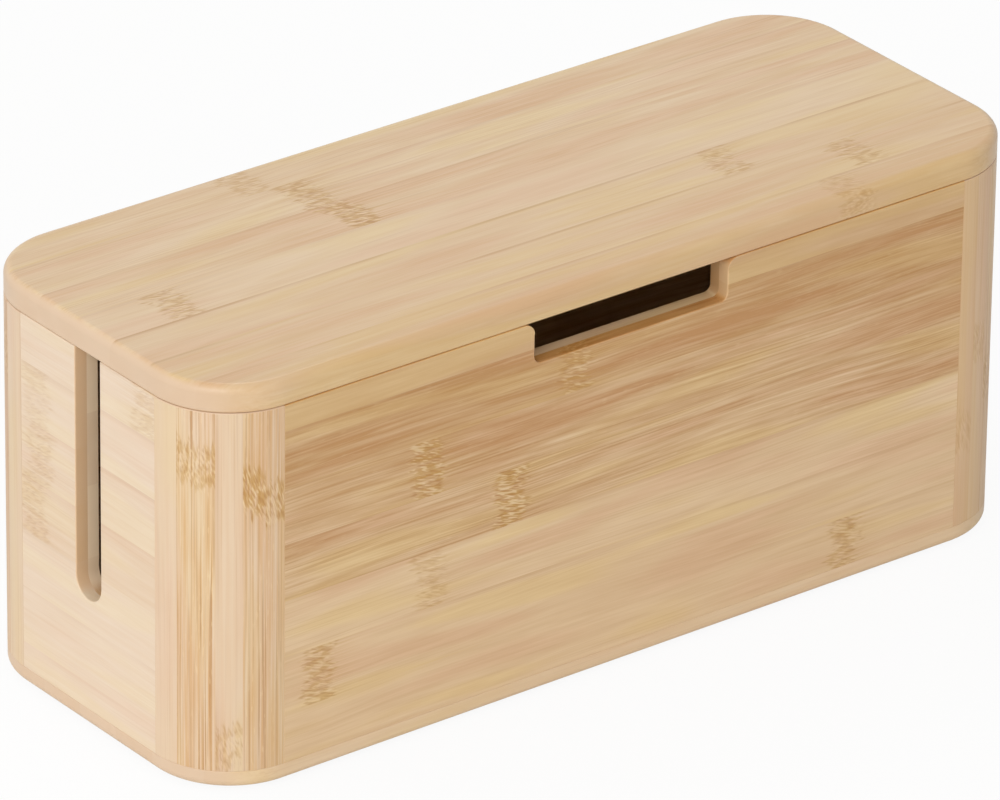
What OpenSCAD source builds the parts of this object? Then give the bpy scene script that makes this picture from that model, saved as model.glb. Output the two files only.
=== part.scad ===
// Bamboo cable management box.
// Four quarter-round posts stand on a base board, two-ply walls are tongued into grooves in
// the posts, and a loose lid drops on top. A notch in the front wall and a slot in each end
// wall let the cables out. Length runs along X, the notched front faces -Y, and +Z is up.
// The origin lies under the middle of the box, on the surface that its feet stand on.

/* [Box] */
// Outer length
box_l = 320; // [240:1:460]
// Outer width
box_w = 126; // [110:1:200]
// Height from the underside of the base to the top of the lid
box_h = 137; // [115:1:220]

/* [Corner posts] */
// Radius of the quarter-round posts, and so of every outer corner
corner_r = 28; // [25:0.5:40]
// Length of the tongue on each end of an inner ply
tongue_l = 5; // [3:0.5:7]

/* [Walls] */
// Thickness of the ply that faces outwards and butts against the posts
outer_ply_t = 4.5; // [3:0.1:6]
// Thickness of the ply that faces inwards and carries the tongues
inner_ply_t = 4.5; // [3:0.1:6]

/* [Front notch] */
// Width of the notch between its straight sides
notch_w = 75; // [40:1:140]
// Depth of the notch below the lid
notch_depth = 14; // [10:0.5:30]
// Radius of the two lower corners
notch_r = 2.5; // [1:0.5:5]
// Radius that eases the two upper corners
notch_ease = 4; // [0.5:0.5:5]

/* [End slots] */
// Width of each slot, which is also the diameter of its round foot
slot_w = 13; // [8:0.5:20]
// Depth of each slot below the lid
slot_depth = 84; // [40:1:90]

/* [Lid] */
// Thickness of the lid board
lid_t = 9; // [7:0.5:14]
// Radius of the upper edge
lid_round = 3; // [1:0.25:5]
// Radius of the lower edge, which makes the shadow line over the walls
lid_ease = 0.4; // [0.2:0.1:1]
// Width of each locating cleat, measured along the box
cleat_w = 14; // [8:1:24]
// Height of each cleat under the lid board
cleat_h = 5; // [3:0.5:8]
// Lead-in chamfer round the lower edge of each cleat
cleat_lead = 1; // [0.5:0.25:2]

/* [Base] */
// Thickness of the base board
base_t = 6; // [5:0.5:12]
// Radius of the lower edge
base_round = 3; // [1:0.25:4]
// Radius of the upper edge, which makes the fine line under the walls
base_ease = 0.3; // [0.2:0.1:0.8]

/* [Screws and feet] */
// Diameter of the screw shanks
screw_d = 3.5; // [2.5:0.1:4.5]
// Diameter of the countersunk heads
screw_head_d = 7; // [6:0.5:9]
// Overall length of the screws
screw_l = 25; // [16:1:40]
// Diameter of the anti-slip feet
foot_d = 12; // [10:0.5:13]
// Height of the anti-slip feet
foot_h = 1.5; // [1:0.25:4]
// Radius of the lower edge of the feet
foot_round = 0.5; // [0.2:0.1:0.8]

/* [Fits] */
// Gap on every side of a cleat, so that the lid lifts off freely
lid_gap = 0.5; // [0.3:0.1:1]
// Gap beside a tongue in its groove
groove_gap = 0.1; // [0.05:0.05:0.3]
// Room for glue between the end of a tongue and the bottom of its groove
glue_room = 0.5; // [0.2:0.1:1]
// Gap round a screw in its hole
screw_gap = 0.1; // [0.05:0.05:0.3]

/* [Hidden] */

$fn = 96;
// How far a cutting shape runs past the face that it opens
past = 1;

// Levels above the surface that the box stands on
base_bottom = foot_h;
base_top = base_bottom + base_t;
lid_bottom = base_bottom + box_h - lid_t;
wall_h = lid_bottom - base_top;

// Straight lengths between the posts, which reach from one arc centre to the next
straight_l = box_l - 2 * corner_r;
straight_w = box_w - 2 * corner_r;
wall_t = outer_ply_t + inner_ply_t;

// A cleat spans the inside from wall to wall and stops against the posts
cleat_l = box_w - 2 * wall_t - 2 * lid_gap;
cleat_x = straight_l / 2 - lid_gap - cleat_w / 2;

// Middle of the largest circle that fits in the quarter-round section of a post,
// where the screw has the most wood round it and the foot covers its head
post_middle = corner_r / (1 + sqrt(2));
head_h = (screw_head_d - screw_d) / 2;
tip_l = screw_d;

CORNERS = [[1, 1, 0], [-1, 1, 90], [-1, -1, 180], [1, -1, 270]];

pale_bamboo = "#DDC09A";
end_bamboo = "#EAD3B5";
warm_bamboo = "#CFA878";
post_bamboo = "#E2C49C";
inner_bamboo = "#D8B98E";

// ---------------------------------------------------------------- shared shapes

// What a round edge of radius r takes off an outer corner at the origin,
// with the board lying towards -X and -Y.
module edge_waste(r) {
    difference() {
        translate([-r, -r]) square(r + past);
        translate([-r, -r]) circle(r);
    }
}

// Section through the border of a board, from the arc centre out to the edge.
module border_section(thick, top_r, bottom_r) {
    difference() {
        square([corner_r, thick]);
        translate([corner_r, thick]) edge_waste(top_r);
        translate([corner_r, 0]) mirror([0, 1]) edge_waste(bottom_r);
    }
}

// Board with the outline of the box. One section runs along the sides and turns
// the corners, so that both edge radii carry on all the way round.
module outline_board(thick, top_r, bottom_r) {
    translate([-straight_l / 2, -straight_w / 2, 0]) cube([straight_l, straight_w, thick]);
    for (side = [0, 180]) rotate(side) {
        translate([-straight_l / 2, straight_w / 2, 0]) rotate([90, 0, 90])
            linear_extrude(straight_l) border_section(thick, top_r, bottom_r);
        translate([straight_l / 2, straight_w / 2, 0]) rotate([90, 0, 0])
            linear_extrude(straight_w) border_section(thick, top_r, bottom_r);
    }
    for (corner = CORNERS)
        translate([corner[0] * straight_l / 2, corner[1] * straight_w / 2, 0])
            rotate(corner[2]) rotate_extrude(angle = 90) border_section(thick, top_r, bottom_r);
}

// Moves what is modelled at the arc centre of the back right corner to another corner.
module at_corner(x_side, y_side) {
    translate([x_side * straight_l / 2, y_side * straight_w / 2, 0])
        mirror([x_side < 0 ? 1 : 0, 0, 0]) mirror([0, y_side < 0 ? 1 : 0, 0]) children();
}

// ---------------------------------------------------------------- walls

// Notch in the front wall, drawn on the face of the wall with its foot at y = 0.
module notch_shape() {
    top = wall_h - notch_depth;
    translate([-notch_w / 2, top + notch_r]) square([notch_w, notch_depth - notch_r + past]);
    translate([-notch_w / 2 + notch_r, top]) square([notch_w - 2 * notch_r, notch_depth]);
    for (side = [0, 1]) mirror([side, 0]) {
        translate([notch_w / 2 - notch_r, top + notch_r]) circle(notch_r);
        translate([notch_w / 2, wall_h]) mirror([1, 0]) edge_waste(notch_ease);
    }
}

// Slot in an end wall, open at the top and round at its foot.
module slot_shape() {
    foot = wall_h - slot_depth + slot_w / 2;
    translate([-slot_w / 2, foot]) square([slot_w, slot_depth]);
    translate([0, foot]) circle(slot_w / 2);
}

// One ply of a wall whose outside lies in the plane y = 0. The ply stands on the base,
// with its own outer face at y = setback. Children are cut through its face.
module ply(length, thick, setback) {
    translate([0, setback + thick, base_top]) rotate([90, 0, 0]) linear_extrude(thick)
        difference() {
            translate([-length / 2, 0]) square([length, wall_h]);
            children();
        }
}

// A ply of the front wall. The back wall is the same without the notch, turned round.
module long_ply(is_outer) {
    translate([0, -box_w / 2, 0])
        if (is_outer) ply(straight_l, outer_ply_t, 0) children();
        else ply(straight_l + 2 * tongue_l, inner_ply_t, outer_ply_t) children();
}

// A ply of the left end wall. The right end wall is the same, turned round.
module end_ply(is_outer) {
    rotate(-90) translate([0, -box_l / 2, 0])
        if (is_outer) ply(straight_w, outer_ply_t, 0) slot_shape();
        else ply(straight_w + 2 * tongue_l, inner_ply_t, outer_ply_t) slot_shape();
}

module front_outer_ply() { color(warm_bamboo) long_ply(true) notch_shape(); }
module front_inner_ply() { color(inner_bamboo) long_ply(false) notch_shape(); }
module back_outer_ply() { color(warm_bamboo) rotate(180) long_ply(true); }
module back_inner_ply() { color(inner_bamboo) rotate(180) long_ply(false); }
module left_end_outer_ply() { color(end_bamboo) end_ply(true); }
module left_end_inner_ply() { color(inner_bamboo) end_ply(false); }
module right_end_outer_ply() { color(end_bamboo) rotate(180) end_ply(true); }
module right_end_inner_ply() { color(inner_bamboo) rotate(180) end_ply(false); }

// ---------------------------------------------------------------- corner posts

// Groove for one tongue, along the post face that lies in the plane x = 0.
module groove() {
    translate([-past, corner_r - wall_t - groove_gap, -past])
        cube([past + tongue_l + glue_room, inner_ply_t + 2 * groove_gap, wall_h + 2 * past]);
}

// Quarter-round post with its arc centre at the origin, grooved for both of its walls
// and bored from below for the screw that holds the base.
module post_shape() {
    difference() {
        rotate_extrude(angle = 90) square([corner_r, wall_h]);
        groove();
        mirror([1, -1, 0]) groove();
        translate([post_middle, post_middle, -past])
            cylinder(d = screw_d + 2 * screw_gap, h = past + screw_l - base_t + screw_gap);
    }
}

module corner_post(x_side, y_side) {
    color(post_bamboo) at_corner(x_side, y_side) translate([0, 0, base_top]) post_shape();
}

module post_front_left() { corner_post(-1, -1); }
module post_front_right() { corner_post(1, -1); }
module post_back_left() { corner_post(-1, 1); }
module post_back_right() { corner_post(1, 1); }

// ---------------------------------------------------------------- base, screws and feet

// Countersunk screw with the face of its head at z = 0, grown all round by gap.
module screw_shape(gap, length) {
    rotate_extrude() polygon([
        [0, 0], [screw_head_d / 2 + gap, 0], [screw_d / 2 + gap, head_h],
        [screw_d / 2 + gap, length - tip_l], [0, length]
    ]);
}

module base_board() {
    color(pale_bamboo) translate([0, 0, base_bottom]) difference() {
        outline_board(base_t, base_ease, base_round);
        for (x_side = [-1, 1]) for (y_side = [-1, 1]) at_corner(x_side, y_side)
            translate([post_middle, post_middle, 0]) screw_shape(screw_gap, screw_l);
    }
}

module base_screws() {
    color("silver") for (x_side = [-1, 1]) for (y_side = [-1, 1]) at_corner(x_side, y_side)
        translate([post_middle, post_middle, base_bottom]) screw_shape(0, screw_l);
}

module foot(x_side, y_side) {
    color("dimgray") at_corner(x_side, y_side) translate([post_middle, post_middle, 0])
        rotate_extrude() difference() {
            square([foot_d / 2, foot_h]);
            translate([foot_d / 2, 0]) mirror([0, 1]) edge_waste(foot_round);
        }
}

module foot_front_left() { foot(-1, -1); }
module foot_front_right() { foot(1, -1); }
module foot_back_left() { foot(-1, 1); }
module foot_back_right() { foot(1, 1); }

// ---------------------------------------------------------------- lid

module lid_board() {
    color(pale_bamboo) translate([0, 0, lid_bottom]) outline_board(lid_t, lid_round, lid_ease);
}

// Section of a cleat that hangs down from y = 0, with its lower edges cut back.
module cleat_section(width) {
    side = width / 2;
    polygon([
        [-side, 0], [-side, cleat_lead - cleat_h], [cleat_lead - side, -cleat_h],
        [side - cleat_lead, -cleat_h], [side, cleat_lead - cleat_h], [side, 0]
    ]);
}

// Cleat glued under the lid, chamfered along all four lower edges.
module cleat(x_side) {
    color(inner_bamboo) translate([x_side * cleat_x, 0, lid_bottom]) intersection() {
        rotate([90, 0, 0]) linear_extrude(cleat_l, center = true) cleat_section(cleat_w);
        rotate([90, 0, 90]) linear_extrude(cleat_w, center = true) cleat_section(cleat_l);
    }
}

module lid_cleat_left() { cleat(-1); }
module lid_cleat_right() { cleat(1); }

lid_board();
lid_cleat_left();
lid_cleat_right();
front_outer_ply();
front_inner_ply();
back_outer_ply();
back_inner_ply();
left_end_outer_ply();
left_end_inner_ply();
right_end_outer_ply();
right_end_inner_ply();
post_front_left();
post_front_right();
post_back_left();
post_back_right();
base_board();
base_screws();
foot_front_left();
foot_front_right();
foot_back_left();
foot_back_right();
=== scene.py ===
"""Bamboo cable management box: the finished pieces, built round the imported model.

Everything is in metres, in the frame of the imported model: length along X, the notched
front towards -Y, +Z up, and the feet on z = 0.
"""

from collections import namedtuple
from math import cos, radians, sin

import bmesh
import bpy
from bpy.props import FloatProperty, FloatVectorProperty, PointerProperty
from mathutils import Matrix, Vector


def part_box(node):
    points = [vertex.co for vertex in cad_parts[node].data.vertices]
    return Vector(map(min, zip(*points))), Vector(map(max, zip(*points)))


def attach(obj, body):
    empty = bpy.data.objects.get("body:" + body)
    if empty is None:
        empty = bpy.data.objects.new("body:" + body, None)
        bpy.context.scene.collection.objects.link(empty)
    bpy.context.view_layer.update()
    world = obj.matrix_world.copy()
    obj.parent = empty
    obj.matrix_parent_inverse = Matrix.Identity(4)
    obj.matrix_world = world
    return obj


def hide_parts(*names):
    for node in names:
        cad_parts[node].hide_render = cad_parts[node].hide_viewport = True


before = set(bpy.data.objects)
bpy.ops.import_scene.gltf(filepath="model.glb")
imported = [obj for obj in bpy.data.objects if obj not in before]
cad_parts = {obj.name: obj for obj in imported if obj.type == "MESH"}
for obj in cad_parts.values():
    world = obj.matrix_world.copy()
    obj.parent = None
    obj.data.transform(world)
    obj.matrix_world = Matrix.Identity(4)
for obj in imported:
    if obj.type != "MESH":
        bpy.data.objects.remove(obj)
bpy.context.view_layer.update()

bl_info = {
    "name": "Bamboo Cable Box",
    "version": (1, 0, 0),
    "blender": (4, 5, 0),
    "location": "3D View > Sidebar > Cable Box",
    "description": "Builds a bamboo cable box with a lift-off lid, and a plain studio for it",
    "category": "Add Mesh",
}

MM = 0.001
# Points closer than this are one point
WELD = 0.002 * MM
# Coordinates closer than this lie on one level
LEVEL = 10 * WELD
# Faces that meet at more than this angle form an edge that is sanded round
CREASE = radians(35)
# Steps round a quarter circle: of a corner, of a round rim and of a sanded edge
CORNER_STEPS = 32
RIM_STEPS = 8
EDGE_STEPS = 3
# An edge worked in one step is a plain chamfer
CHAMFER = 1
# How far large faces outweigh small ones in the shading, from 1 to 100
LARGE_FACES = 100
# An edge whose middle is farther out than this share of the radius lies on the round
ON_ROUND = 0.99

# ---------------------------------------------------------------- sizes and colours


def linear(hex_colour):
    """Linear red, green and blue of an sRGB hex colour."""
    shares = [int(hex_colour[at:at + 2], 16) / 255 for at in (1, 3, 5)]
    return tuple(c / 12.92 if c <= 0.04045 else ((c + 0.055) / 1.055) ** 2.4 for c in shares)


def size_property(name, description, millimetres):
    """A length that the panel shows."""
    return FloatProperty(name=name, description=description, default=millimetres * MM,
                         min=0, unit="LENGTH", precision=5)


def colour_property(name, description, hex_colour):
    """A colour that the panel shows."""
    return FloatVectorProperty(name=name, description=description, subtype="COLOR", size=3,
                               min=0, max=1, default=linear(hex_colour))


class BoxSizes(bpy.types.PropertyGroup):
    """Sizes of cut-outs and edges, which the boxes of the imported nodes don't give"""

    notch_width: size_property("Notch width", "Width of the notch in the front wall", 75)
    notch_depth: size_property("Notch depth", "Depth of the notch below the lid", 14)
    notch_round: size_property("Notch corners", "Radius of the notch's lower corners", 2.5)
    notch_ease: size_property("Notch mouth", "Radius of the notch's upper corners", 4)
    slot_width: size_property("Slot width", "Width of the cable slot in each end wall", 13)
    slot_depth: size_property("Slot depth", "Depth of the cable slots below the lid", 84)
    tongue: size_property("Tongue", "Length of the tongues on the inner plies", 5)
    groove_gap: size_property("Groove gap", "Gap beside a tongue in its groove", 0.1)
    glue_room: size_property("Glue room", "Room between a tongue's end and its groove", 0.5)
    lid_round: size_property("Lid round", "Radius of the lid's upper edge", 3)
    lid_ease: size_property("Lid ease", "Radius of the lid's lower edge", 0.9)
    base_round: size_property("Base round", "Radius of the base's lower edge", 3)
    base_ease: size_property("Base ease", "Radius of the base's upper edge", 0.3)
    wall_ease: size_property("Wall ease", "Radius of the walls' top edges and cut-outs", 0.5)
    joint_ease: size_property("Joint ease", "Radius of edges that meet in a glued joint", 0.1)
    cleat_lead: size_property("Cleat lead-in", "Chamfer round a cleat's lower edge", 1)
    foot_round: size_property("Foot round", "Radius of a foot's lower edge", 0.5)


class BoxColours(bpy.types.PropertyGroup):
    """Colours of the bamboo, from its palest strips to its darkest fibres"""

    lid_pale: colour_property("Lid, pale", "Palest strips of the lid", "#E6CBA8")
    lid_warm: colour_property("Lid, warm", "Warmest strips of the lid", "#D9B588")
    lid_cut: colour_property("Lid, cut ends", "Cut ends of the lid and the base", "#D9BDA3")
    base_pale: colour_property("Base, pale", "Palest strips of the base", "#ECD3B3")
    base_warm: colour_property("Base, warm", "Warmest strips of the base", "#E0BF94")
    wall_pale: colour_property("Walls, pale", "Palest strips of the long walls", "#E9CCA5")
    wall_warm: colour_property("Walls, warm", "Warmest strips of the long walls", "#C1925C")
    wall_cut: colour_property("Walls, cut ends", "Cut ends in the notch", "#E8C394")
    # Painted warm bounce shade for faces along the grain, such as the shaded notch ledge
    wall_painted_bounce: colour_property("Walls, edges", "How edges along the grain deepen", "#FFECCE")
    end_pale: colour_property("Ends, pale", "Palest strips of the end walls", "#ECD9C5")
    end_warm: colour_property("Ends, warm", "Warmest strips of the end walls", "#E0C3A2")
    end_cut: colour_property("Ends, cut ends", "Cut ends in the slots", "#E6BE8E")
    post_pale: colour_property("Posts, pale", "Smooth strips of the posts", "#E2C8AA")
    post_warm: colour_property("Posts, warm", "Fibrous strips of the posts", "#D6AB7A")
    ply_pale: colour_property("Inner plies, pale", "Palest strips of the inner plies", "#EFD5B0")
    ply_warm: colour_property("Inner plies, warm", "Warmest strips of the inner plies", "#CDA478")
    # Pale cut cane, made paler still as painted light on the slot cheeks
    ply_cut_and_slot_light: colour_property("Inner plies, cut ends", "Cut ends of the inner plies", "#FFEACC")
    blush: colour_property("Blush", "Bands of the cane that lean to pink", "#FFF7FA")
    straw: colour_property("Straw", "Bands of the cane that lean to yellow", "#FFFFE6")
    # Also the painted shade in the gaps between a knuckle's scales
    fibre: colour_property("Fibres", "Dark fibre lines along the grain", "#AE773A")
    knuckle: colour_property("Knuckles", "Stain round the knuckles of the cane", "#C19248")
    # Also the painted highlight on the backs of a knuckle's scales
    fleck: colour_property("Flecks", "Pale flecks where fibres rise to the face", "#EDD3A8")
    zinc: colour_property("Screws", "Zinc plating of the screws", "#C4C4BE")
    rubber: colour_property("Feet", "Rubber of the feet", "#2C2B2A")


class Studio(bpy.types.PropertyGroup):
    """Where the camera stands, and how bright the lamps and the floor are"""

    turn: FloatProperty(name="Turn", description="Camera's turn round the box, from its front",
                        default=radians(-37.70), subtype="ANGLE")
    rise: FloatProperty(name="Rise", description="Camera's height above the horizon",
                        default=radians(26.82), subtype="ANGLE")
    roll: FloatProperty(name="Roll", description="Camera's roll", default=radians(0.72),
                        subtype="ANGLE")
    distance: FloatProperty(name="Distance", description="From the camera to the box",
                            default=3.2501, unit="LENGTH")
    aim_right: FloatProperty(name="Aim right", description="How far the camera is moved right",
                             default=-1.69 * MM, unit="LENGTH", precision=5)
    aim_up: FloatProperty(name="Aim up", description="How far the camera is moved up",
                          default=-3.26 * MM, unit="LENGTH", precision=5)
    lens: FloatProperty(name="Lens", description="Focal length in millimetres for a 36 mm film",
                        default=373.97)
    key_power: FloatProperty(name="Key lamp", description="Power of the soft lamp on the left",
                             default=5.5, subtype="POWER")
    rim_power: FloatProperty(name="Rim lamp", description="Power of the small lamp behind",
                             default=1.5, subtype="POWER")
    sky: FloatProperty(name="Sky", description="Strength of the soft light from all round",
                       default=0.9, min=0, max=1)


# ---------------------------------------------------------------- boards

Corner = namedtuple("Corner", "point radius")
SHARP = 0


def cut_board(outline, thickness):
    """A flat board: an outline of corners, rounded where they have a radius, and pulled out
    along the vector that is its thickness."""
    board = bmesh.new()
    verts = [board.verts.new(corner.point) for corner in outline]
    board.faces.new(verts)
    for radius in sorted({corner.radius for corner in outline} - {SHARP}):
        rounded = [vert for vert, corner in zip(verts, outline) if corner.radius == radius]
        bmesh.ops.bevel(board, geom=rounded, offset=radius, affect="VERTICES",
                        segments=CORNER_STEPS, profile=0.5, material=-1)
    bmesh.ops.remove_doubles(board, verts=board.verts, dist=WELD)
    pulled = bmesh.ops.extrude_face_region(board, geom=board.faces[:])["geom"]
    moved = [part for part in pulled if isinstance(part, bmesh.types.BMVert)]
    bmesh.ops.translate(board, vec=thickness, verts=moved)
    bmesh.ops.recalc_face_normals(board, faces=board.faces)
    return board


def sand(board, radius, steps, chosen):
    """Rounds those creased edges of a board for which chosen(middle of the edge) is true."""
    creased = [edge for edge in board.edges
               if len(edge.link_faces) == 2 and edge.calc_face_angle() > CREASE
               and chosen((edge.verts[0].co + edge.verts[1].co) / 2)]
    bmesh.ops.bevel(board, geom=creased, offset=radius, affect="EDGES", segments=steps,
                    profile=0.5, material=-1)


def on_level(value, level):
    """True if a coordinate lies on a level."""
    return abs(value - level) < LEVEL


def finish_piece(board, node, body, material):
    """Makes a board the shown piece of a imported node, riding on that node's body."""
    bmesh.ops.remove_doubles(board, verts=board.verts, dist=WELD)
    bmesh.ops.recalc_face_normals(board, faces=board.faces)
    for face in board.faces:
        face.smooth = True
    for edge in board.edges:
        edge.smooth = edge.calc_face_angle() < CREASE
    mesh = bpy.data.meshes.new(node + "_finished")
    board.to_mesh(mesh)
    board.free()
    mesh.materials.append(material)
    piece = bpy.data.objects.new(mesh.name, mesh)
    bpy.context.scene.collection.objects.link(piece)
    # Large faces keep the shading flat, and only the rounded edges blend
    shading = piece.modifiers.new("Even shading", "WEIGHTED_NORMAL")
    shading.weight = LARGE_FACES
    shading.keep_sharp = True
    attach(piece, body)
    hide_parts(node)


# ---------------------------------------------------------------- how the bamboo is laid

# The axis of the grain, the axis along which the strips lie side by side, the axis through
# the thickness, where the first strip starts, how wide the strips are, how far a knuckle
# reaches either way along the grain, how much the bands within a strip differ in warmth and
# in hue, and the strips
Lay = namedtuple("Lay", "along across deep start width reach contrast hues strips")
# A strip's warmth, its lean to pink (or to straw, below 0), how much its fibres show and how
# dark the seam on its far side is, all up to 1, then where its knuckle sits along the grain,
# in millimetres, and how strongly the knuckle shows, up to 1
Strip = namedtuple("Strip", "warmth blush fibres seam knuckle depth")

LID_LAY = Lay(
    along="X", across="Y", deep="Z", start=-69 * MM, width=19 * MM, reach=7 * MM,
    contrast=1.7, hues=0.6, strips=(
        Strip(0.90, 0.3, 0.15, 0.3, 88, 0.4), Strip(0.68, 0.3, 0.15, 0.6, 106, 0.6),
        Strip(0.55, 0.4, 0.15, 0.8, 68, 0.6), Strip(0.28, 0.5, 0.15, 0.3, -129, 0.7),
        Strip(0.45, 0.5, 0.30, 0.3, -47, 1.0), Strip(0.40, 0.5, 0.30, 0.3, -52, 0.8),
        Strip(0.45, 0.4, 0.30, 0.0, -63, 0.5)))
WALL_LAY = Lay(
    along="X", across="Z", deep="Y", start=5.5 * MM, width=19.2 * MM, reach=7 * MM,
    contrast=0.85, hues=0.65, strips=(
        Strip(0.22, 0.5, 0.15, 0.2, 87, 0.6), Strip(0.25, 0.5, 0.15, 0.3, -119, 0.7),
        Strip(0.20, 0.5, 0.20, 0.4, -77, 0.4), Strip(0.50, 0.3, 0.50, 0.3, -46, 1.0),
        Strip(0.63, 0.5, 0.48, 0.3, -79, 0.9), Strip(0.82, 0.4, 0.40, 0.4, -22, 0.6),
        Strip(0.56, -0.1, 0.10, 0.0, 150, 0.0)))
END_LAY = Lay(
    along="Y", across="Z", deep="X", start=16.5 * MM, width=19.5 * MM, reach=8 * MM,
    contrast=1.3, hues=0.35, strips=(
        Strip(0.40, 0.3, 0.10, 0.2, 60, 0.0), Strip(0.40, 0.3, 0.10, 0.2, 60, 0.0),
        Strip(0.65, 0.2, 0.15, 0.2, 28, 0.3), Strip(0.50, 0.2, 0.15, 0.2, 25, 0.3),
        Strip(0.40, 0.3, 0.10, 0.2, 26, 0.2), Strip(0.35, 0.2, 0.15, 0.0, -31, 0.3)))
INNER_LONG_LAY = WALL_LAY._replace(
    start=16 * MM, width=20 * MM, reach=6 * MM, contrast=1.5, hues=0.5, strips=(
        Strip(0.2, 0.4, 0.2, 0.5, 60, 0.7), Strip(0.7, 0.4, 0.4, 0.5, -30, 0.8),
        Strip(0.3, 0.4, 0.2, 0.5, 110, 0.6), Strip(0.8, 0.4, 0.4, 0.5, -100, 0.8),
        Strip(0.1, 0.3, 0.2, 0.5, 75, 0.5), Strip(0.3, 0.4, 0.3, 0.5, -65, 0.8)))
INNER_END_LAY = END_LAY._replace(
    start=5.8 * MM, width=24.9 * MM, reach=6 * MM, contrast=1.5, hues=0.5, strips=(
        Strip(0.4, 0.2, 0.2, 0.5, 20, 0.5), Strip(0.7, 0.1, 0.3, 0.5, -25, 0.7),
        Strip(0.0, 0.9, 0.2, 0.5, 30, 0.5), Strip(0.9, 0.7, 0.3, 0.5, -10, 0.7),
        Strip(0.1, 0.4, 0.2, 0.5, 25, 0.5)))
POST_LAY = Lay(
    along="Z", across="X", deep="Y", start=131.9 * MM, width=6.65 * MM, reach=9 * MM,
    contrast=0.5, hues=0.4, strips=(
        Strip(0.55, 0.3, 0.90, 0.0, 98, 0.8), Strip(0.45, 0.2, 0.90, 0.0, 103, 0.9),
        Strip(0.05, 0.2, 0.30, 0.3, 17, 0.5), Strip(0.45, 0.3, 1.00, 0.0, 112, 0.7),
        Strip(0.05, 0.6, 0.20, 0.0, 30, 0.0)))
PLAIN_POST_LAY = POST_LAY._replace(strips=(
    Strip(0.60, -0.2, 0.15, 0.0, 40, 0.3), Strip(0.50, 0.1, 0.25, 0.2, 72, 0.4),
    Strip(0.60, 0.3, 0.90, 0.0, 55, 0.8), Strip(0.20, 0.4, 0.30, 0.3, 88, 0.3),
    Strip(0.30, 0.6, 0.80, 0.0, 60, 0.6)))
BASE_LAY = LID_LAY._replace(
    start=-71 * MM, reach=6 * MM, contrast=1.5, hues=0.4, strips=(
        Strip(0.5, 0.5, 0.15, 0.3, 80, 0.0), Strip(0.3, 0.4, 0.20, 0.5, -60, 0.7),
        Strip(0.6, 0.4, 0.30, 0.5, 30, 0.6), Strip(0.2, 0.6, 0.20, 0.5, -110, 0.7),
        Strip(0.5, 0.4, 0.30, 0.5, 120, 0.8), Strip(0.4, 0.4, 0.20, 0.5, -10, 0.6),
        Strip(0.6, 0.4, 0.30, 0.5, 65, 0.6), Strip(0.4, 0.4, 0.20, 0.0, 0, 0.0)))
CLEAT_LAY = Lay(
    along="Y", across="X", deep="Z", start=100 * MM, width=20 * MM, reach=6 * MM,
    contrast=1.5, hues=0.5, strips=(
        Strip(0.4, 0.4, 0.3, 0.5, 10, 0.8), Strip(0.5, 0.4, 0.3, 0.5, -20, 0.8)))

# ---------------------------------------------------------------- patterns

# A texture's lines: how long and how thick they are, and how much finer detail they carry
Lines = namedtuple("Lines", "length width detail")
# Broad bands of paler and warmer cane within a strip
BANDS = Lines(90 * MM, 8 * MM, 0.5)
# Bands where the cane leans to pink or to straw yellow
TINTS = Lines(70 * MM, 8 * MM, 0.0)
# Cloudy patches
CLOUDS = Lines(22 * MM, 1.6 * MM, 1.0)
# Fibre bundles are 0.3 to 0.8 mm thick and run for several centimetres
FIBRES = Lines(60 * MM, 0.6 * MM, 1.0)
# The few dark bundles, cut open by sanding
DARK_LINES = Lines(80 * MM, 0.5 * MM, 0.0)
# Places where fibres crowd together
CROWDS = Lines(55 * MM, 6 * MM, 1.0)
# Short flecks where a fibre rises to the sanded face
FLECKS = Lines(4 * MM, 0.45 * MM, 0.0)
# Slow sway of the fibres on their way, as a share of their strip's width
SWAYS = Lines(70 * MM, 14 * MM, 0.0)
SWAY = 0.08
# A knuckle: short overlapping scales in a band across its strip, each a little aslant
SCALES = Lines(3 * MM, 0.55 * MM, 0.0)
SLANT = 0.3
# The share of its half length that it covers in full
KNUCKLE_CORE = 0.6
# Its stain runs out along the fibres on one side
FLARE_REACH = 17 * MM
# How far a knuckle's rim wanders, fibre by fibre and as a whole
RAGGED = Lines(60 * MM, 0.9 * MM, 0.0)
RAGGED_BY = 4 * MM
WANDER = Lines(60 * MM, 8 * MM, 0.0)
WANDER_BY = 4 * MM
# Patches of deeper stain within it
PATCHES = Lines(5 * MM, 1.8 * MM, 0.0)
# The fibres bend round it
CURL_SIZE = 3 * MM
CURL_BY = 0.2 * MM
# The seam between two strips, drawn wider than the real glue line of 0.05 mm so that it
# shows, and the part of that width that is fully dark
SEAM = 1.8 * MM
SEAM_CORE = 0.2 * SEAM
# A knuckle's place is kept in a colour, as a share of this length
PLACE_RANGE = 400 * MM
# How far apart neighbouring strips are cut from the same grain
STRIP_SHIFT = 317 * MM

# How far a strip's bands pull its warmth about: a little on any strip, more with its fibres
LEAST_SPREAD = 0.3
FIBROUS_SPREAD = 1.4
# How far single fibres pull it about, and how far the tints swing a strip's lean to pink
FIBRE_SPREAD = 1.8
TINT_SPREAD = 3.0
# Fibres crowd between these levels of their noise, and this much of them is left elsewhere
CROWDED = (0.4, 0.65)
SPARSE = 0.4

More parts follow.
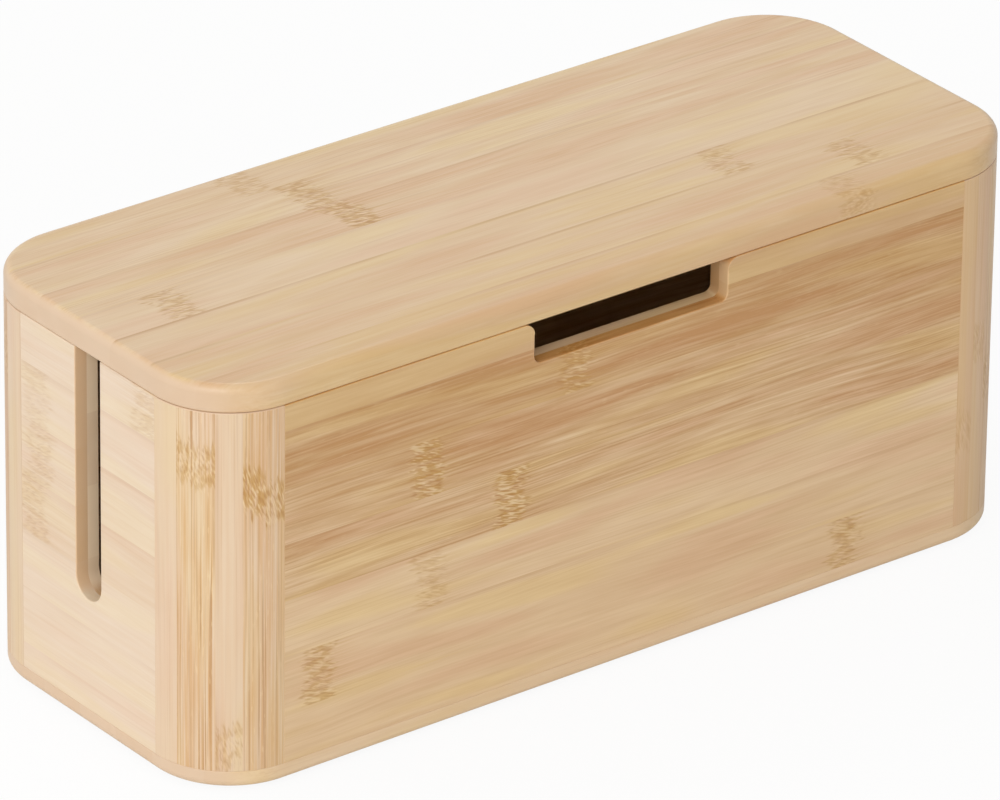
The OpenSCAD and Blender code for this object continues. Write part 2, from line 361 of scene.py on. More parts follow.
# A mark on the bamboo: the level of a noise at which it starts to grow, the level at which it
# is full, how much of it there is even before it grows, and how far it pulls the colour to
# its own when it is full
Mark = namedtuple("Mark", "start full least strength")
PINK_BANDS = Mark(0.5, 1.1, 0.0, 1.0)
STRAW_BANDS = Mark(0.4, -0.2, 0.0, 1.0)
BROWN_LINES = Mark(0.55, 0.66, 0.0, 0.6)
PALE_FLECKS = Mark(0.64, 0.78, 0.0, 0.4)
STAIN = Mark(0.42, 0.58, 0.15, 0.65)
STAIN_RUN = Mark(0.4, 0.62, 0.0, 0.5)
# Partly mottle, partly painted shade in the scales' gaps and painted highlight on their backs
SCALE_GAPS_AND_SHADE = Mark(0.45, 0.3, 0.0, 0.5)
SCALE_BACKS_AND_HIGHLIGHT = Mark(0.55, 0.7, 0.0, 0.6)
DARK_SEAM = Mark(0.38, 0.62, 0.2, 0.6)
# How far the cut ends take the colour of cut cane
CUT_STRENGTH = 0.7
# A face counts as an end or an edge from the first of these cosines, and fully at the second
SQUARE_ON = (0.3, 0.9)

# The lacquer: it fills most of the grain, scales stand out more than fibres, and it is satin
GRAIN_HEIGHT = 0.012 * MM
GRAIN_FELT = 0.25
SCALE_RISE = 20.0
SATIN = (0.3, 0.38)
# The middle of a noise, and the levels between which most of it lies
MIDDLE = 0.5
MOST_OF_IT = (0.3, 0.7)
# The mottle of the zinc on the screws, and how dull it gets
MOTTLE_SIZE = 1.5 * MM
DULL = 0.8
# The pebble of the moulded rubber, how high it stands, and how pale it gets
PEBBLE_SIZE = 0.6 * MM
PEBBLE_HEIGHT = 0.1 * MM
WORN = 1.8

# ---------------------------------------------------------------- materials

MATH = "ShaderNodeMath"
MIX = "ShaderNodeMix"
NOISE = "ShaderNodeTexNoise"
REMAP = "ShaderNodeMapRange"
# Sockets of a Mix node that mixes colours
FACTOR, FIRST, SECOND, MIXED = 0, 6, 7, 2


def add(tree, kind, inputs=None, ramp=None, **settings):
    """Adds a node to a tree and returns its outputs. Inputs are values, or sockets to link
    from. A ramp is its interpolation and its places and colours."""
    node = tree.nodes.new(kind)
    for name, value in settings.items():
        setattr(node, name, value)
    for name, value in (inputs or {}).items():
        if isinstance(value, bpy.types.NodeSocket):
            tree.links.new(value, node.inputs[name])
        else:
            node.inputs[name].default_value = value
    if ramp:
        node.color_ramp.interpolation, stops = ramp
        while len(node.color_ramp.elements) < len(stops):
            node.color_ramp.elements.new(1)
        for element, (position, colour) in zip(node.color_ramp.elements, stops):
            element.position = position
            element.color = colour
    return node.outputs


def new_tree(name):
    """A new material and its empty node tree."""
    material = bpy.data.materials.new(name)
    material.use_nodes = True
    material.node_tree.nodes.clear()
    return material, material.node_tree


def find_strip(tree, across, lay):
    """Which strip a point lies in, how far it is from the far side of that strip, and what
    sets the strip off from the others, under the names of a Strip."""
    strips = add(tree, MATH, {0: across, 1: lay.start}, operation="SUBTRACT")[0]
    strips = add(tree, MATH, {0: strips, 1: lay.width}, operation="DIVIDE")[0]
    number = add(tree, MATH, {0: strips}, operation="FLOOR")[0]
    into = add(tree, MATH, {0: strips, 1: number}, operation="SUBTRACT")[0]
    rest = add(tree, MATH, {0: into, 1: -lay.width, 2: lay.width},
               operation="MULTIPLY_ADD")[0]
    count = len(lay.strips)
    share = add(tree, MATH, {0: number, 1: 1 / count, 2: 0.5 / count},
                operation="MULTIPLY_ADD")[0]
    looks = [(at / count, (s.warmth, s.blush, s.fibres, s.seam))
             for at, s in enumerate(lay.strips)]
    knuckles = [(at / count, (0.5 + s.knuckle * MM / PLACE_RANGE, s.depth, 0, 1))
                for at, s in enumerate(lay.strips)]
    look = add(tree, "ShaderNodeValToRGB", {"Fac": share}, ramp=("CONSTANT", looks))
    knuckle = add(tree, "ShaderNodeValToRGB", {"Fac": share}, ramp=("CONSTANT", knuckles))
    look_parts = add(tree, "ShaderNodeSeparateColor", {0: look["Color"]})
    knuckle_parts = add(tree, "ShaderNodeSeparateColor", {0: knuckle["Color"]})
    return number, rest, Strip(look_parts["Red"], look_parts["Green"], look_parts["Blue"],
                               look["Alpha"], knuckle_parts["Red"], knuckle_parts["Green"])


def grain(tree, along, across, deep, lines):
    """Noise drawn out along the grain into lines."""
    at = add(tree, "ShaderNodeCombineXYZ", {
        0: add(tree, MATH, {0: along, 1: lines.length}, operation="DIVIDE")[0],
        1: add(tree, MATH, {0: across, 1: lines.width}, operation="DIVIDE")[0],
        2: add(tree, MATH, {0: deep, 1: lines.width}, operation="DIVIDE")[0]})[0]
    return add(tree, NOISE, {"Vector": at, "Scale": 1.0, "Detail": lines.detail})[0]


def swing(tree, value, noise, reach):
    """A value moved by up to half of reach either way, as a noise says."""
    centred = add(tree, MATH, {0: noise, 1: MIDDLE}, operation="SUBTRACT")[0]
    return add(tree, MATH, {0: centred, 1: reach, 2: value}, operation="MULTIPLY_ADD")[0]


def tint(tree, colour, towards, where, strength, blend="MIX"):
    """A colour mixed with another one where a mask says, as far as strength says."""
    share = add(tree, MATH, {0: where, 1: strength}, operation="MULTIPLY", use_clamp=True)[0]
    return add(tree, MIX, {FACTOR: share, FIRST: colour, SECOND: (*towards, 1)},
               data_type="RGBA", blend_type=blend)[MIXED]


def marked(tree, colour, towards, noise, mark, where, blend="MIX"):
    """A colour with a Mark on it, as a noise says, and only as far as a mask lets it show."""
    shown = add(tree, REMAP, {"Value": noise, "From Min": mark.start, "From Max": mark.full,
                              "To Min": mark.least}, interpolation_type="SMOOTHSTEP")[0]
    shown = add(tree, MATH, {0: shown, 1: where}, operation="MULTIPLY")[0]
    return tint(tree, colour, towards, shown, mark.strength, blend)


def facing(tree, normal, axis):
    """A mask of the faces that look along an axis, either way."""
    share = add(tree, MATH, {0: normal[axis]}, operation="ABSOLUTE")[0]
    return add(tree, REMAP, {"Value": share, "From Min": SQUARE_ON[0],
                             "From Max": SQUARE_ON[1]}, interpolation_type="SMOOTHSTEP")[0]


def near_knuckle(tree, along, across, deep, strip, reach):
    """Two masks: the ragged band of a strip's knuckle, and the stain that runs out of it."""
    centre = add(tree, MATH, {0: strip.knuckle, 1: PLACE_RANGE, 2: -PLACE_RANGE / 2},
                 operation="MULTIPLY_ADD")[0]
    away = add(tree, MATH, {0: along, 1: centre}, operation="SUBTRACT")[0]
    away = swing(tree, away, grain(tree, along, across, deep, WANDER), 2 * WANDER_BY)
    ragged = swing(tree, away, grain(tree, along, across, deep, RAGGED), 2 * RAGGED_BY)
    near = add(tree, MATH, {0: ragged}, operation="ABSOLUTE")[0]
    band = add(tree, REMAP, {"Value": near, "From Min": reach,
                             "From Max": KNUCKLE_CORE * reach},
               interpolation_type="SMOOTHSTEP")[0]
    rise = add(tree, REMAP, {"Value": ragged, "From Min": -reach, "From Max": 0.0},
               interpolation_type="SMOOTHSTEP")[0]
    fall = add(tree, REMAP, {"Value": ragged, "From Min": FLARE_REACH, "From Max": 0.0})[0]
    flare = add(tree, MATH, {0: rise, 1: fall}, operation="MULTIPLY")[0]
    return [add(tree, MATH, {0: mask, 1: strip.depth}, operation="MULTIPLY")[0]
            for mask in (band, flare)]


# What the grain is at a point: its noises, and the scales of a knuckle
Grain = namedtuple("Grain", "bands tints clouds fibres dark crowds flecks patches scales")


def bent_grain(tree, place, along, across, deep, flare, width):
    """The Grain at a point, drawn out along fibres that sway and bend round a knuckle."""
    curl = add(tree, NOISE, {"Vector": place, "Scale": 1 / CURL_SIZE, "Detail": 1.0})[0]
    curl_by = add(tree, MATH, {0: flare, 1: 2 * CURL_BY}, operation="MULTIPLY")[0]
    bent = swing(tree, across, grain(tree, along, across, deep, SWAYS), 2 * SWAY * width)
    bent = swing(tree, bent, curl, curl_by)
    noises = [grain(tree, along, bent, deep, lines) for lines in
              (BANDS, TINTS, CLOUDS, FIBRES, DARK_LINES, CROWDS, FLECKS, PATCHES)]
    aslant = add(tree, MATH, {0: along, 1: SLANT, 2: bent}, operation="MULTIPLY_ADD")[0]
    return Grain(*noises, grain(tree, along, aslant, deep, SCALES))


def strip_colour(tree, lay, strip, noises, pale, warm, colours, face, fibres):
    """A strip's own warmth, pulled about by its bands, clouds and fibres, and the more so
    the more its fibres show. Some of its bands lean to pink and some to straw."""
    spread = add(tree, MATH, {0: strip.fibres, 1: FIBROUS_SPREAD * lay.contrast,
                              2: LEAST_SPREAD * lay.contrast}, operation="MULTIPLY_ADD")[0]
    cloudy = swing(tree, noises.bands, noises.clouds, face)
    tone = swing(tree, strip.warmth, cloudy, spread)
    lively = add(tree, MATH, {0: fibres, 1: FIBRE_SPREAD}, operation="MULTIPLY")[0]
    tone = swing(tree, tone, noises.fibres, lively)
    colour = tint(tree, (*pale, 1), warm, tone, 1.0)
    pinker = swing(tree, strip.blush, noises.tints, TINT_SPREAD)
    hues = add(tree, MATH, {0: face, 1: lay.hues}, operation="MULTIPLY")[0]
    colour = marked(tree, colour, colours.blush, pinker, PINK_BANDS, hues, "MULTIPLY")
    return marked(tree, colour, colours.straw, pinker, STRAW_BANDS, hues, "MULTIPLY")


def fibre_marks(tree, colour, noises, colours, fibres):
    """Brown fibre lines, most where the fibres crowd, and a few pale flecks."""
    crowded = add(tree, REMAP, {"Value": noises.crowds, "From Min": CROWDED[0],
                                "From Max": CROWDED[1], "To Min": SPARSE},
                  interpolation_type="SMOOTHSTEP")[0]
    crowded = add(tree, MATH, {0: crowded, 1: fibres}, operation="MULTIPLY")[0]
    colour = marked(tree, colour, colours.fibre, noises.dark, BROWN_LINES, crowded)
    return marked(tree, colour, colours.fleck, noises.flecks, PALE_FLECKS, crowded)


def knuckle_marks(tree, colour, noises, colours, band, flare):
    """A golden stain in patches, which runs out along the fibres, and on it scales whose pale
    backs and dark gaps are partly the knuckle's own mottle and partly painted highlight and
    painted shade that follow their bump."""
    colour = marked(tree, colour, colours.knuckle, noises.patches, STAIN, band)
    run = add(tree, REMAP, {"Value": noises.fibres, "From Min": STAIN_RUN.start,
                            "From Max": STAIN_RUN.full})[0]
    run = add(tree, MATH, {0: run, 1: flare}, operation="MULTIPLY")[0]
    colour = tint(tree, colour, colours.knuckle, run, STAIN_RUN.strength)
    # Painted shade in the scales' gaps and painted highlight on their backs, with their mottle
    colour = marked(tree, colour, colours.fibre, noises.scales, SCALE_GAPS_AND_SHADE, band)
    return marked(tree, colour, colours.fleck, noises.scales, SCALE_BACKS_AND_HIGHLIGHT, band)


def seam_mark(tree, colour, noises, colours, rest, strip, face):
    """A thin dark seam between the strips, which comes and goes."""
    seam = add(tree, REMAP, {"Value": rest, "From Min": SEAM, "From Max": SEAM_CORE},
               interpolation_type="SMOOTHSTEP")[0]
    seam = add(tree, MATH, {0: seam, 1: strip.seam}, operation="MULTIPLY")[0]
    seam = add(tree, MATH, {0: seam, 1: face}, operation="MULTIPLY")[0]
    return marked(tree, colour, colours.fibre, noises.crowds, DARK_SEAM, seam)


def pressed_bamboo(name, lay, pale, warm, cut, colours, mirrored=False, edge=None):
    """Pressed bamboo, sanded and sealed with a satin lacquer: strips of slightly different
    warmth side by side, soft bands of pink and straw with a few thin brown fibres in each,
    and a stained, scaly knuckle across each. Cut ends are smooth, and edges along the grain
    may carry painted warm bounce shade, deeper in colour."""
    material, tree = new_tree(name)
    place = add(tree, "ShaderNodeTexCoord")
    axes = add(tree, "ShaderNodeSeparateXYZ", {0: place["Object"]})
    along, across, deep = axes[lay.along], axes[lay.across], axes[lay.deep]
    laid = across
    if mirrored:
        laid = add(tree, MATH, {0: across}, operation="ABSOLUTE")[0]
    number, rest, strip = find_strip(tree, laid, lay)
    # No fibre runs on from one strip into the next
    across = add(tree, MATH, {0: number, 1: STRIP_SHIFT, 2: across},
                 operation="MULTIPLY_ADD")[0]
    band, flare = near_knuckle(tree, along, across, deep, strip, lay.reach)
    noises = bent_grain(tree, place["Object"], along, across, deep, flare, lay.width)

    # Cut ends, where the normal points along the grain, show no fibres and no knuckle
    normal = add(tree, "ShaderNodeSeparateXYZ", {0: place["Normal"]})
    end = facing(tree, normal, lay.along)
    face = add(tree, MATH, {0: 1.0, 1: end}, operation="SUBTRACT")[0]
    fibres = add(tree, MATH, {0: strip.fibres, 1: face}, operation="MULTIPLY")[0]
    band = add(tree, MATH, {0: band, 1: face}, operation="MULTIPLY")[0]
    noises = noises._replace(fibres=swing(tree, MIDDLE, noises.fibres, face))

    colour = strip_colour(tree, lay, strip, noises, pale, warm, colours, face, fibres)
    colour = fibre_marks(tree, colour, noises, colours, fibres)
    colour = knuckle_marks(tree, colour, noises, colours, band, flare)
    colour = seam_mark(tree, colour, noises, colours, rest, strip, face)
    colour = tint(tree, colour, cut, end, CUT_STRENGTH)
    # Painted warm bounce shade: faces along the grain, above all the notch ledge in the lid's
    # shade, are deepened to the orange of light bounced between bamboo faces
    if edge:
        side = facing(tree, normal, lay.across)
        colour = tint(tree, colour, edge, side, 1.0, "MULTIPLY")

    # The lacquer fills most of the grain, so fibres are felt more than seen
    height = add(tree, MATH, {0: noises.scales, 1: band}, operation="MULTIPLY")[0]
    height = add(tree, MATH, {0: height, 1: SCALE_RISE, 2: noises.fibres},
                 operation="MULTIPLY_ADD")[0]
    bump = add(tree, "ShaderNodeBump", {"Height": height, "Strength": GRAIN_FELT,
                                        "Distance": GRAIN_HEIGHT})[0]
    rough = add(tree, REMAP, {"Value": noises.fibres, "From Min": MOST_OF_IT[0],
                              "From Max": MOST_OF_IT[1], "To Min": SATIN[0],
                              "To Max": SATIN[1]})[0]
    shader = add(tree, "ShaderNodeBsdfPrincipled", {"Base Color": colour, "Roughness": rough,
                                                    "Normal": bump})[0]
    add(tree, "ShaderNodeOutputMaterial", {"Surface": shader})
    return material


def zinc_plated_steel(colours):
    """Zinc-plated screws: dull bright metal, slightly mottled by the plating bath."""
    material, tree = new_tree("zinc plated steel")
    place = add(tree, "ShaderNodeTexCoord")["Object"]
    mottle = add(tree, NOISE, {"Vector": place, "Scale": 1 / MOTTLE_SIZE, "Detail": 3.0})[0]
    dull = tuple(DULL * part for part in colours.zinc)
    colour = tint(tree, (*colours.zinc, 1), dull, mottle, 1.0)
    rough = add(tree, REMAP, {"Value": mottle, "To Min": 0.25, "To Max": 0.5})[0]
    shader = add(tree, "ShaderNodeBsdfPrincipled", {"Base Color": colour, "Metallic": 1.0,
                                                    "Roughness": rough})[0]
    add(tree, "ShaderNodeOutputMaterial", {"Surface": shader})
    return material


def foot_rubber(colours):
    """Moulded anti-slip rubber: matt, with a fine moulded pebble."""
    material, tree = new_tree("foot rubber")
    place = add(tree, "ShaderNodeTexCoord")["Object"]
    pebble = add(tree, NOISE, {"Vector": place, "Scale": 1 / PEBBLE_SIZE, "Detail": 2.0})[0]
    worn = tuple(WORN * part for part in colours.rubber)
    colour = tint(tree, (*colours.rubber, 1), worn, pebble, 1.0)
    bump = add(tree, "ShaderNodeBump", {"Height": pebble, "Strength": 0.4,
                                        "Distance": PEBBLE_HEIGHT})[0]
    shader = add(tree, "ShaderNodeBsdfPrincipled", {"Base Color": colour, "Roughness": 0.85,
                                                    "Normal": bump})[0]
    add(tree, "ShaderNodeOutputMaterial", {"Surface": shader})
    return material


# ---------------------------------------------------------------- pieces

BOX_CORNERS = ("front_left", "front_right", "back_left", "back_right")


def chosen_in(context):
    """The sizes and the colours that the panel shows."""
    return context.scene.cablebox_sizes, context.scene.cablebox_colours


def flat_board(low, high, radius):
    """A board that fills the space between two corners, its own four corners rounded."""
    outline = [Corner((x, y, low.z), radius) for x, y in
               ((low.x, low.y), (high.x, low.y), (high.x, high.y), (low.x, high.y))]
    return cut_board(outline, (0, 0, high.z - low.z))


def corner_radius():
    """Radius of the box's corners: a post reaches that far along both walls."""
    low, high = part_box("post_front_left")
    return high.x - low.x


def outline_board(node, rim_above, rim_below):
    """A board with the outline of the box, with both rims rounded."""
    low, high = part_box(node)
    board = flat_board(low, high, corner_radius())
    sand(board, rim_above, RIM_STEPS, lambda middle: on_level(middle.z, high.z))
    sand(board, rim_below, RIM_STEPS, lambda middle: on_level(middle.z, low.z))
    return board


class CABLEBOX_OT_lid_board(bpy.types.Operator):
    """Makes the lid board, with its round upper edge"""

    bl_idname = "cablebox.lid_board"
    bl_label = "Lid board"

    def execute(self, context):
        sizes, colours = chosen_in(context)
        board = outline_board("lid_board", sizes.lid_round, sizes.lid_ease)
        bamboo = pressed_bamboo("lid bamboo", LID_LAY, colours.lid_pale, colours.lid_warm,
                                colours.lid_cut, colours)
        finish_piece(board, "lid_board", "lid", bamboo)
        return {"FINISHED"}


class CABLEBOX_OT_lid_cleats(bpy.types.Operator):
    """Makes the two cleats that keep the lid in place"""

    bl_idname = "cablebox.lid_cleats"
    bl_label = "Lid cleats"

    def execute(self, context):
        sizes, colours = chosen_in(context)
        bamboo = pressed_bamboo("cleat bamboo", CLEAT_LAY, colours.ply_pale,
                                colours.ply_warm, colours.ply_cut_and_slot_light, colours, mirrored=True)
        for node in ("lid_cleat_left", "lid_cleat_right"):
            low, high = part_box(node)
            board = flat_board(low, high, SHARP)
            sand(board, sizes.cleat_lead, CHAMFER, lambda middle: on_level(middle.z, low.z))
            finish_piece(board, node, "lid", bamboo)
        return {"FINISHED"}


def wall_corners(half_length, foot, top, cut_out):
    """Outline of a wall ply as pairs of (place along the wall, height) and radius, with a
    cut-out in its top edge."""
    return [((-half_length, foot), SHARP), ((half_length, foot), SHARP),
            ((half_length, top), SHARP), *cut_out, ((-half_length, top), SHARP)]


def wall_ply(node, cut_out, sizes):
    """One ply of a wall. It lies along the longer side of its box, and only the edges of
    its bare face are sanded, because the other face is glued to the other ply."""
    low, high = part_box(node)
    size = high - low
    lies_along_x = size.x > size.y
    through = 1 if lies_along_x else 0
    half_length = max(size.x, size.y) / 2
    outline = wall_corners(half_length, low.z, high.z, cut_out)
    if lies_along_x:
        corners = [Corner((along, low.y, up), radius) for (along, up), radius in outline]
        board = cut_board(corners, (0, size.y, 0))
    else:
        corners = [Corner((low.x, along, up), radius) for (along, up), radius in outline]
        board = cut_board(corners, (size.x, 0, 0))
    half_cut = max([abs(along) for (along, _), _ in cut_out], default=0)
    # An outer ply is bare on the face away from the box's middle, an inner ply on the other
    faces = sorted((low[through], high[through]), key=abs)
    bare_face = faces[1] if "outer" in node else faces[0]

    def bare(middle):
        return on_level(middle[through], bare_face)

    def worked(middle):
        in_cut = abs(middle[1 - through]) < half_cut + WELD and not on_level(middle.z, low.z)
        return bare(middle) and (in_cut or on_level(middle.z, high.z))

    sand(board, sizes.wall_ease, EDGE_STEPS, worked)
    sand(board, sizes.joint_ease, CHAMFER, bare)
    return board


def finish_wall(wall, cut_out, sizes, outer_slot, outer, inner):
    """Makes both plies of a wall the shown pieces of their nodes."""
    for ply, slot, bamboo in (("_outer_ply", outer_slot, outer),
                              ("_inner_ply", "inner_bamboo", inner)):
        finish_piece(wall_ply(wall + ply, cut_out, sizes), wall + ply, "box", bamboo)


class CABLEBOX_OT_long_walls(bpy.types.Operator):
    """Makes both plies of the front wall, with its notch, and of the back wall"""

    bl_idname = "cablebox.long_walls"
    bl_label = "Long walls"

    def execute(self, context):
        sizes, colours = chosen_in(context)
        # The outer walls carry the painted warm bounce shade on faces along the grain
        outer = pressed_bamboo("wall bamboo", WALL_LAY, colours.wall_pale, colours.wall_warm,
                               colours.wall_cut, colours, edge=colours.wall_painted_bounce)
        inner = pressed_bamboo("inner ply bamboo, long", INNER_LONG_LAY, colours.ply_pale,
                               colours.ply_warm, colours.wall_warm, colours)
        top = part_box("front_outer_ply")[1].z
        half, bottom = sizes.notch_width / 2, top - sizes.notch_depth
        notch = [((half, top), sizes.notch_ease), ((half, bottom), sizes.notch_round),
                 ((-half, bottom), sizes.notch_round), ((-half, top), sizes.notch_ease)]
        for wall, cut_out in (("front", notch), ("back", [])):
            finish_wall(wall, cut_out, sizes, "wall_bamboo", outer, inner)
        return {"FINISHED"}


class CABLEBOX_OT_end_walls(bpy.types.Operator):
    """Makes both plies of each end wall, with its cable slot"""

    bl_idname = "cablebox.end_walls"
    bl_label = "End walls"

    def execute(self, context):
        sizes, colours = chosen_in(context)
        outer = pressed_bamboo("end wall bamboo", END_LAY, colours.end_pale,
                               colours.end_warm, colours.end_cut, colours)
        # Their cut ends, the slot cheeks, carry painted light in the pale cut colour
        inner = pressed_bamboo("inner ply bamboo, ends", INNER_END_LAY, colours.ply_pale,
                               colours.ply_warm, colours.ply_cut_and_slot_light, colours)
        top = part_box("left_end_outer_ply")[1].z
        half, bottom = sizes.slot_width / 2, top - sizes.slot_depth
        slot = [((half, top), SHARP), ((half, bottom), half), ((-half, bottom), half),
                ((-half, top), SHARP)]
        for end in ("left_end", "right_end"):
            finish_wall(end, slot, sizes, "end_bamboo", outer, inner)
        return {"FINISHED"}


def post_outline(node, sizes):
    """Section of a post: a quarter disc with a groove for a tongue in each flat face."""
    low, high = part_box(node)
    radius = corner_radius()
    outer_ply, inner_ply = (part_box(ply)[1].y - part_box(ply)[0].y
                            for ply in ("front_outer_ply", "front_inner_ply"))
    outside = radius - outer_ply + sizes.groove_gap
    inside = radius - outer_ply - inner_ply - sizes.groove_gap
    bottom = sizes.tongue + sizes.glue_room
    section = [((0, 0), SHARP), ((inside, 0), SHARP), ((inside, bottom), SHARP),
               ((outside, bottom), SHARP), ((outside, 0), SHARP), ((radius, 0), SHARP),
               ((radius, radius), radius), ((0, radius), SHARP), ((0, outside), SHARP),
               ((bottom, outside), SHARP), ((bottom, inside), SHARP), ((0, inside), SHARP)]
    # The arc's centre is the corner of the post's box that lies nearest the box's middle
    centre_x, sign_x = (low.x, 1) if low.x > 0 else (high.x, -1)
    centre_y, sign_y = (low.y, 1) if low.y > 0 else (high.y, -1)
    return [Corner((centre_x + sign_x * x, centre_y + sign_y * y, low.z), round_by)
            for (x, y), round_by in section]


class CABLEBOX_OT_corner_posts(bpy.types.Operator):
    """Makes the four quarter-round posts, grooved for the walls"""

    bl_idname = "cablebox.corner_posts"
    bl_label = "Corner posts"

    def execute(self, context):
        sizes, colours = chosen_in(context)
        fibrous, plain = (
            pressed_bamboo(name, lay, colours.post_pale, colours.post_warm, colours.lid_cut,
                           colours, mirrored=True)
            for name, lay in (("post bamboo", POST_LAY), ("plain post bamboo", PLAIN_POST_LAY)))
        for node in ["post_" + corner for corner in BOX_CORNERS]:
            low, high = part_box(node)
            board = cut_board(post_outline(node, sizes), (0, 0, high.z - low.z))
            centre = Vector((min(low.x, high.x, key=abs), min(low.y, high.y, key=abs)))

            def on_round(middle):
                return (middle.xy - centre).length > corner_radius() * ON_ROUND

            sand(board, sizes.wall_ease, EDGE_STEPS,
                 lambda middle: on_level(middle.z, high.z) and on_round(middle))
            sand(board, sizes.joint_ease, CHAMFER, on_round)
            finish_piece(board, node, "box",
                         fibrous if node.endswith("left") else plain)
        return {"FINISHED"}


class CABLEBOX_OT_base_board(bpy.types.Operator):
    """Makes the base board, with its round lower edge"""

    bl_idname = "cablebox.base_board"
    bl_label = "Base board"

    def execute(self, context):
        sizes, colours = chosen_in(context)
        board = outline_board("base_board", sizes.base_ease, sizes.base_round)
        bamboo = pressed_bamboo("base bamboo", BASE_LAY, colours.base_pale,
                                colours.base_warm, colours.lid_cut, colours)
        finish_piece(board, "base_board", "box", bamboo)
        return {"FINISHED"}


class CABLEBOX_OT_base_screws(bpy.types.Operator):
    """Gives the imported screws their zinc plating"""

    bl_idname = "cablebox.base_screws"
    bl_label = "Base screws"

    def execute(self, context):
        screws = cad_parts["base_screws"]
        screws.data.materials.clear()
        screws.data.materials.append(zinc_plated_steel(context.scene.cablebox_colours))
        return {"FINISHED"}


class CABLEBOX_OT_feet(bpy.types.Operator):
    """Makes the four anti-slip feet"""

    bl_idname = "cablebox.feet"
    bl_label = "Feet"

    def execute(self, context):
        sizes, colours = chosen_in(context)
        rubber = foot_rubber(colours)
        for node in ["foot_" + corner for corner in BOX_CORNERS]:
            low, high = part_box(node)
            board = flat_board(low, high, (high.x - low.x) / 2)
            sand(board, sizes.foot_round, RIM_STEPS, lambda middle: on_level(middle.z, low.z))
            finish_piece(board, node, "box", rubber)
        return {"FINISHED"}


# ---------------------------------------------------------------- stage

# The lamps: how wide each one is, in which direction from the box it hangs, and how far off
Lamp = namedtuple("Lamp", "name width direction")
KEY_LAMP = Lamp("key lamp", 0.9, (-0.73, -0.44, 0.50))
RIM_LAMP = Lamp("rim lamp", 0.25, (0.36, 0.47, 0.81))
LAMP_DISTANCE = 1.5
# The side from which no soft light comes, and the cosines of the angle from it between which
# the light goes out
DARK_SIDE = (1.0, 0.1, 0.0)
DARK_EDGE = (0.2, 0.75)
# Half the width of the floor, its paper, and how far what the camera sees is lifted to white
FLOOR_REACH = 4.0
FLOOR_PAPER = "#F4F3F0"
FLOOR_LIFT = 0.92
WHITE = (1, 1, 1, 1)
# The camera's film is this wide, in millimetres, and it sees this far, in metres
FILM_WIDTH = 36
FAR_END = 100


def camera_directions(studio):
    """Unit vectors to the right, upwards and back towards the camera, as it sees them."""
    back = Vector((sin(studio.turn) * cos(studio.rise), -cos(studio.turn) * cos(studio.rise),
                   sin(studio.rise)))
    right = Vector((0, 0, 1)).cross(back).normalized()
    rolled = Matrix.Rotation(studio.roll, 3, back)
    right = rolled @ right
    return right, back.cross(right), back


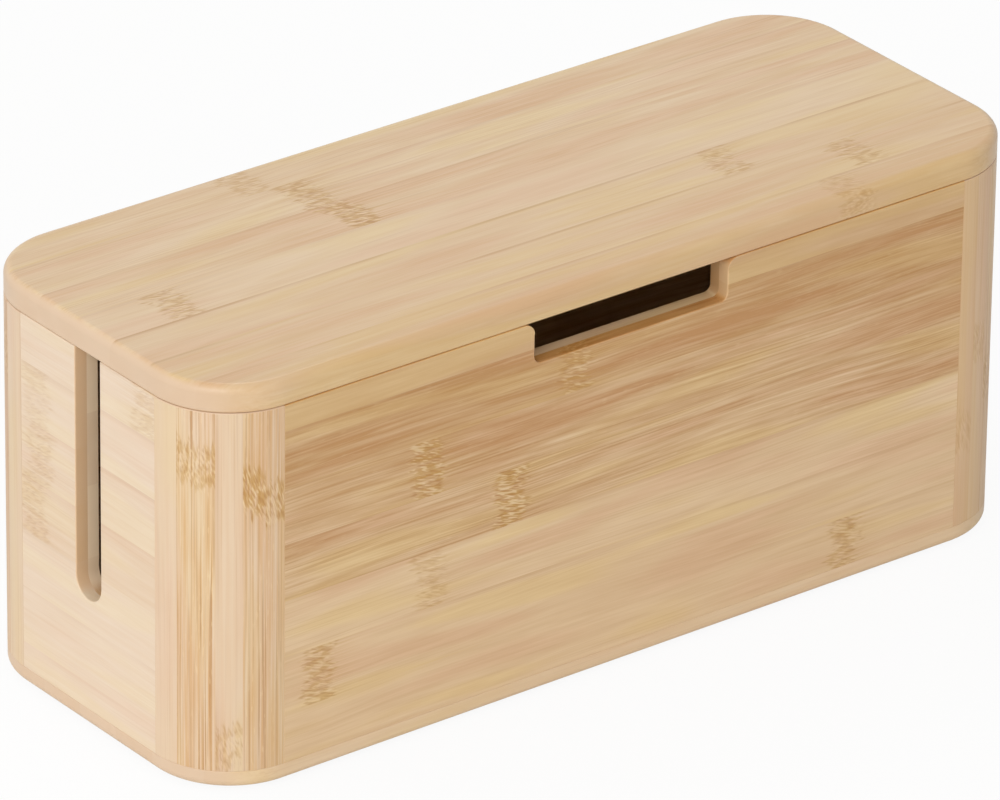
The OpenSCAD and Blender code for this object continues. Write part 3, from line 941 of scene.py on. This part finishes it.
class CABLEBOX_OT_studio(bpy.types.Operator):
    """Makes the pale floor, two soft lamps, the even light from all round and the camera"""

    bl_idname = "cablebox.studio"
    bl_label = "Studio"

    def execute(self, context):
        studio, scene = context.scene.cablebox_studio, context.scene
        self.make_floor(scene)
        self.make_sky(scene, studio)
        self.make_lamp(scene, KEY_LAMP, studio.key_power)
        self.make_lamp(scene, RIM_LAMP, studio.rim_power)
        self.make_camera(scene, studio)
        scene.view_settings.view_transform = "Standard"
        return {"FINISHED"}

    def make_floor(self, scene):
        """A wide white floor. What the camera sees is lifted to white, but keeps the shadow."""
        sheet = bmesh.new()
        bmesh.ops.create_grid(sheet, x_segments=1, y_segments=1, size=FLOOR_REACH)
        mesh = bpy.data.meshes.new("floor")
        sheet.to_mesh(mesh)
        sheet.free()
        material, tree = new_tree("floor")
        seen = add(tree, "ShaderNodeLightPath")["Is Camera Ray"]
        paper = add(tree, "ShaderNodeBsdfDiffuse", {"Color": (*linear(FLOOR_PAPER), 1)})[0]
        white = add(tree, "ShaderNodeEmission", {"Color": WHITE, "Strength": 1.0})[0]
        lifted = add(tree, MATH, {0: seen, 1: FLOOR_LIFT}, operation="MULTIPLY")[0]
        shader = add(tree, "ShaderNodeMixShader", {0: lifted, 1: paper, 2: white})[0]
        add(tree, "ShaderNodeOutputMaterial", {"Surface": shader})
        mesh.materials.append(material)
        floor = bpy.data.objects.new("floor", mesh)
        scene.collection.objects.link(floor)

    def make_sky(self, scene, studio):
        """White in reflections, and a soft light on the box, with a dark gap on its right."""
        scene.world = bpy.data.worlds.new("studio")
        scene.world.use_nodes = True
        tree = scene.world.node_tree
        tree.nodes.clear()
        rays = add(tree, "ShaderNodeLightPath")
        seen = add(tree, MATH, {0: rays["Is Camera Ray"], 1: rays["Is Glossy Ray"]},
                   operation="MAXIMUM")[0]
        seen = add(tree, MATH, {0: seen, 1: rays["Is Transmission Ray"]},
                   operation="MAXIMUM")[0]
        direction = add(tree, "ShaderNodeTexCoord")["Generated"]
        beside = add(tree, "ShaderNodeVectorMath", {
            0: direction, 1: Vector(DARK_SIDE).normalized()},
            operation="DOT_PRODUCT")["Value"]
        strength = add(tree, REMAP, {"Value": beside, "From Min": DARK_EDGE[0],
                                     "From Max": DARK_EDGE[1], "To Min": studio.sky,
                                     "To Max": 0.0}, interpolation_type="SMOOTHSTEP")[0]
        strength = add(tree, MIX, {0: seen, 2: strength, 3: 1.0})[0]
        light = add(tree, "ShaderNodeBackground", {"Color": WHITE, "Strength": strength})[0]
        add(tree, "ShaderNodeOutputWorld", {"Surface": light})

    def make_lamp(self, scene, lamp, power):
        """A soft round lamp that shines on the middle of the box."""
        light = bpy.data.lights.new(lamp.name, "AREA")
        light.shape = "DISK"
        light.size = lamp.width
        light.energy = power
        hung = bpy.data.objects.new(lamp.name, light)
        towards = Vector(lamp.direction).normalized()
        middle = Vector((0, 0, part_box("lid_board")[0].z / 2))
        hung.location = middle + towards * LAMP_DISTANCE
        hung.rotation_euler = towards.to_track_quat("Z", "Y").to_euler()
        scene.collection.objects.link(hung)

    def make_camera(self, scene, studio):
        """The camera, which looks at the middle of the box but for the small aim."""
        right, up, back = camera_directions(studio)
        centre = Vector((0, 0, (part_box("lid_board")[1].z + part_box("base_board")[0].z) / 2))
        lens = bpy.data.cameras.new("camera")
        lens.sensor_width = FILM_WIDTH
        lens.lens = studio.lens
        lens.clip_end = FAR_END
        camera = bpy.data.objects.new("camera", lens)
        camera.matrix_world = Matrix((right, up, back)).transposed().to_4x4()
        camera.location = (centre + back * studio.distance + right * studio.aim_right
                           + up * studio.aim_up)
        scene.collection.objects.link(camera)
        scene.camera = camera


# ---------------------------------------------------------------- the add-on

OPERATORS = (
    CABLEBOX_OT_lid_board, CABLEBOX_OT_lid_cleats, CABLEBOX_OT_long_walls,
    CABLEBOX_OT_end_walls, CABLEBOX_OT_corner_posts, CABLEBOX_OT_base_board,
    CABLEBOX_OT_base_screws, CABLEBOX_OT_feet, CABLEBOX_OT_studio,
)
GROUPS = {"cablebox_sizes": BoxSizes, "cablebox_colours": BoxColours,
          "cablebox_studio": Studio}


class CABLEBOX_PT_panel(bpy.types.Panel):
    """The box's sizes, colours and pieces, in the sidebar"""

    bl_idname = "CABLEBOX_PT_panel"
    bl_label = "Bamboo Cable Box"
    bl_space_type = "VIEW_3D"
    bl_region_type = "UI"
    bl_category = "Cable Box"

    def draw(self, context):
        for group, kind in GROUPS.items():
            box = self.layout.box()
            box.label(text=kind.bl_rna.name)
            for name in kind.__annotations__:
                box.prop(getattr(context.scene, group), name)
        for operator in OPERATORS:
            self.layout.operator(operator.bl_idname)


def register():
    """Adds the groups, the operators and the panel to Blender."""
    for group, kind in GROUPS.items():
        bpy.utils.register_class(kind)
        setattr(bpy.types.Scene, group, PointerProperty(type=kind))
    for kind in (*OPERATORS, CABLEBOX_PT_panel):
        bpy.utils.register_class(kind)


def unregister():
    """Takes them out again, in the opposite order."""
    for kind in reversed((*OPERATORS, CABLEBOX_PT_panel)):
        bpy.utils.unregister_class(kind)
    for group, kind in reversed(GROUPS.items()):
        delattr(bpy.types.Scene, group)
        bpy.utils.unregister_class(kind)


def main():
    """Builds the box and its studio."""
    register()
    bpy.ops.cablebox.lid_board()
    bpy.ops.cablebox.lid_cleats()
    bpy.ops.cablebox.long_walls()
    bpy.ops.cablebox.end_walls()
    bpy.ops.cablebox.corner_posts()
    bpy.ops.cablebox.base_board()
    bpy.ops.cablebox.base_screws()
    bpy.ops.cablebox.feet()
    bpy.ops.cablebox.studio()


if __name__ == "__main__":
    main()
